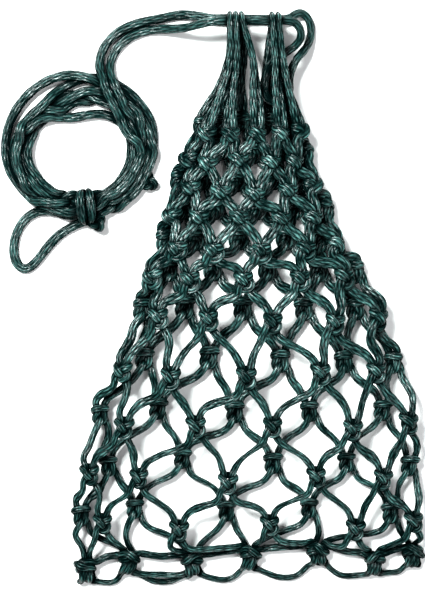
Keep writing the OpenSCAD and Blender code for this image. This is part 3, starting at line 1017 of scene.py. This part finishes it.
def make_camera():
    data = bpy.data.cameras.new("camera")
    data.lens = CAMERA_LENS
    data.sensor_width = CAMERA_SENSOR
    camera = bpy.data.objects.new("camera", data)
    camera.location = (CAMERA_X, 0.0, SUBJECT_Z + SEEN_HEIGHT * CAMERA_LENS / CAMERA_SENSOR)
    bpy.context.scene.collection.objects.link(camera)
    bpy.context.scene.camera = camera


def area_light(name, place, size, power, colour):
    data = bpy.data.lights.new(name, "AREA")
    data.size = size
    data.energy = power
    data.color = colour
    light = bpy.data.objects.new(name, data)
    light.location = place
    light.rotation_euler = (-Vector(place)).to_track_quat("-Z", "Y").to_euler()
    bpy.context.scene.collection.objects.link(light)


def make_stage():
    half = FLOOR_HALF
    corners = [(-half, -half, 0), (half, -half, 0), (half, half, 0), (-half, half, 0)]
    mesh = bpy.data.meshes.new("floor")
    mesh.from_pydata(corners, [], [(0, 1, 2, 3)])
    mesh.materials.append(floor_material())
    floor = bpy.data.objects.new("floor", mesh)
    bpy.context.scene.collection.objects.link(floor)
    world = bpy.data.worlds.new("studio")
    world.use_nodes = True
    world.node_tree.nodes["Background"].inputs[0].default_value = SKY_COLOUR
    world.node_tree.nodes["Background"].inputs[1].default_value = SKY_STRENGTH
    bpy.context.scene.world = world
    area_light("key", KEY_PLACE, KEY_SIZE, KEY_POWER, KEY_COLOUR)
    area_light("fill", FILL_PLACE, FILL_SIZE, FILL_POWER, FILL_COLOUR)
    bpy.context.scene.view_settings.view_transform = "Standard"


# ---------------------------------------------------------------- making the object
COIL_ROUNDS = 80  # rounds of settling
KNOT_ROUNDS = 25
NET_ROUNDS = 70


def finish_piece(strand, braid, material, body, nodes):
    """A strand's mesh, on its body and in place of its CAD nodes, and the points along its middle."""
    piece, points = sweep(strand, braid, material)
    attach(piece, body)
    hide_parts(*nodes)
    return piece, points


def lay_lines():
    """The drawstring, both hand lines as they settle in the coil, the tie round it and the two knots."""
    upper, lower = upper_hand_line(), lower_hand_line()
    drawstring = Strand("drawstring_cord", DRAWSTRING, LINE_D, DRAWSTRING_SLACK)
    settle([upper, lower], COIL_ROUNDS)
    tie, tie_knot_place = tie_cord([upper, lower])
    tie_knot = overhand("tie_knot", tie_knot_place, TIE_KNOT_SIZE, TIE_KNOT_TURNED, TIE_D)
    end_knot_place = on_coil(END_KNOT_R, math.radians(END_KNOT_ANGLE), END_KNOT_Z)
    end_knot = overhand("end_knot", end_knot_place, END_KNOT_SIZE, END_KNOT_TURNED, TIE_D)
    settle([tie_knot], KNOT_ROUNDS)
    settle([end_knot], KNOT_ROUNDS)
    for cord in (upper, lower, drawstring):
        cord.free = False
    return drawstring, upper, lower, tie, tie_knot, end_knot


def finish_lines(drawstring, upper, lower, tie, tie_knot, end_knot):
    """The pieces of the drawstring's body; the first three are the drawstring and the two hand lines."""
    line_look = braid_material("hand_line", LINE_BRAID, seed=7.0, contrast=0.65)
    tie_look = braid_material("tie_twine", TWINE_BRAID, seed=9.0, contrast=0.8, lift=-0.1)
    parts = [
        (drawstring, LINE_BRAID, line_look, ["drawstring"]),
        (upper, LINE_BRAID, line_look, ["hand_line_upper", "hand_line_coil"]),
        (lower, LINE_BRAID, line_look, ["hand_line_lower", "hand_line_coil", "wrist_loop"]),
        (tie, TWINE_BRAID, tie_look, ["coil_tie"]),
        (tie_knot, TWINE_BRAID, tie_look, ["coil_tie_knot"]),
        (end_knot, TWINE_BRAID, tie_look, ["line_end_knot"]),
    ]
    made = {
        strand.name: finish_piece(strand, braid, look, "drawstring", nodes)
        for strand, braid, look, nodes in parts
    }


def make_net(line_strands):
    """The netting, settled on the drawstring and the hand line as they lie."""
    net_look = braid_material("netting_twine", TWINE_BRAID, seed=0.0)
    closing_look = braid_material("closing_twine", TWINE_BRAID, seed=3.0, contrast=0.95, lift=-0.07)
    loops = [mouth_loop(c) for c in range(MESHES)]
    courses = [course(r) for r in range(len(ROWS))]
    line, bights = closing_line(), closing_bights()
    settle([*loops, *courses, line, bights, *line_strands], NET_ROUNDS)
    for c, strand in enumerate(loops):
        nodes = [f"mouth_eyes_{wall_of(c)}", f"mouth_legs_{wall_of(c)}"]
        finish_piece(strand, TWINE_BRAID, net_look, "net", nodes)
    for r, strand in enumerate(courses):
        nodes = [f"mesh_row_{r + 1}"] + (["closing_legs"] if r == LAST else [])
        finish_piece(strand, TWINE_BRAID, net_look, "net", nodes)
    finish_piece(line, TWINE_BRAID, closing_look, "net", ["closing_line", "closing_knots"])
    finish_piece(bights, TWINE_BRAID, closing_look, "net", ["closing_bights"])


make_camera()
lines = lay_lines()
finish_lines(*lines)
make_net(lines[:3])
make_stage()
